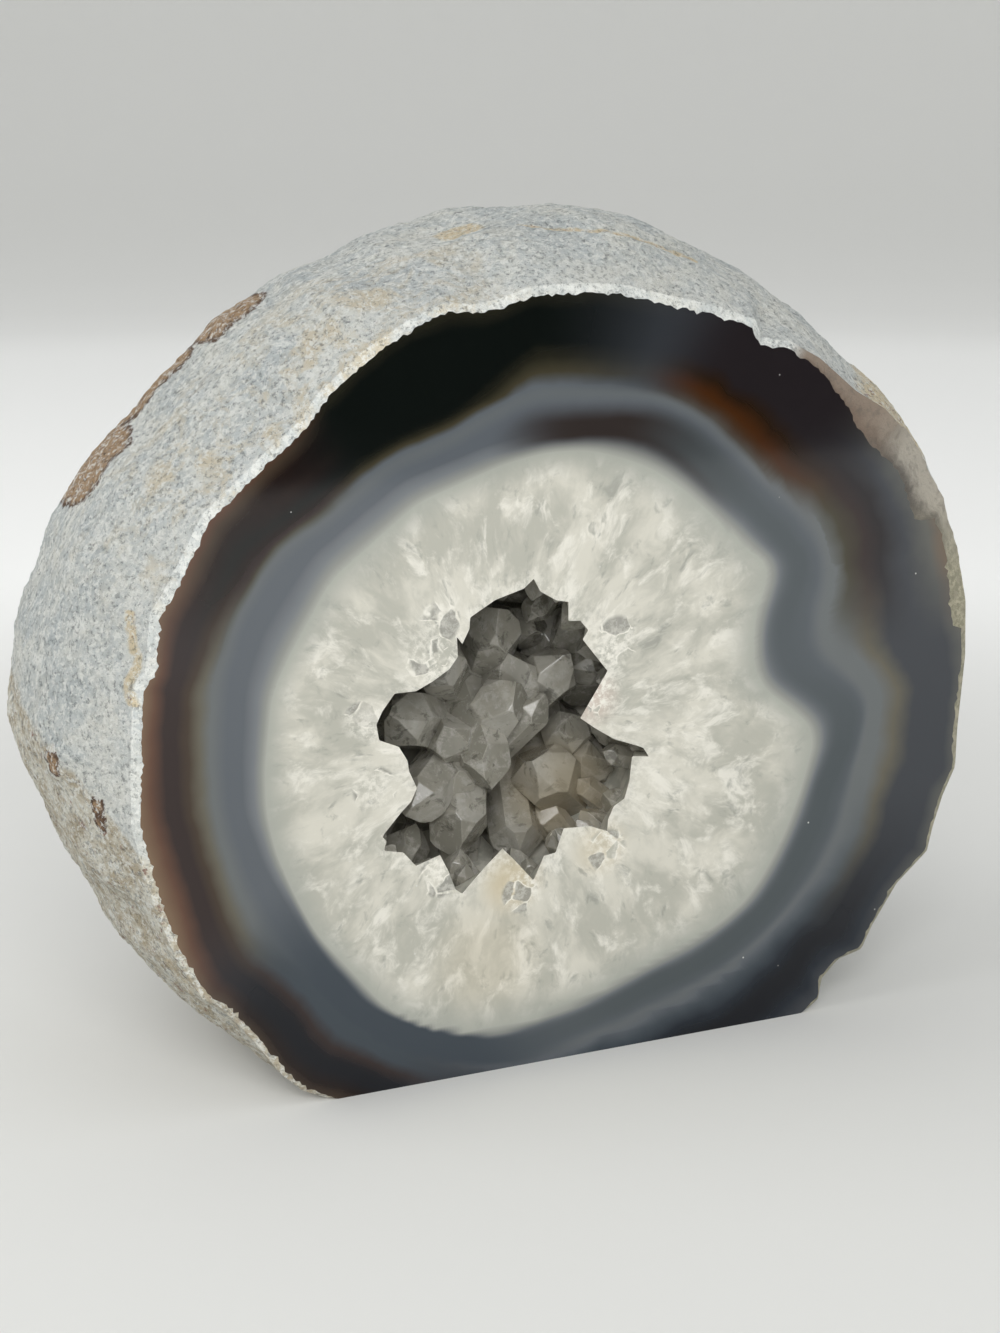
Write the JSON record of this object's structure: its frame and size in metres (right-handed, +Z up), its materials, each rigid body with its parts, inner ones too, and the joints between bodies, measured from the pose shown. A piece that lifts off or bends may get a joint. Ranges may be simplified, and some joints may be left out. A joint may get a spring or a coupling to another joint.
{
  "type": "geode half",
  "caption": "Half of a banded agate geode with a polished face, white quartz and a hollow lined with quartz points, sawn flat below so that it stands upright on a shelf",
  "frame": {"origin": "Middle of the sawn base's front part, on the plane that the geode stands on, below the middle of the polished face's width", "axes": "+Z is up from the sawn base. The polished face looks towards -Y. +X is to the right for someone who looks at the polished face."},
  "size_m": [0.1144, 0.056, 0.0981],
  "materials": {
    "agate_nodule": "polished banded agate on the sawn face, granular weathered stone on the rind",
    "quartz_crystals": "clear smoky quartz with natural flat crystal faces"
  },
  "bodies": {
    "root": {"geode": "agate_nodule", "crystal_crust": "quartz_crystals"}
  },
  "joints": []
}
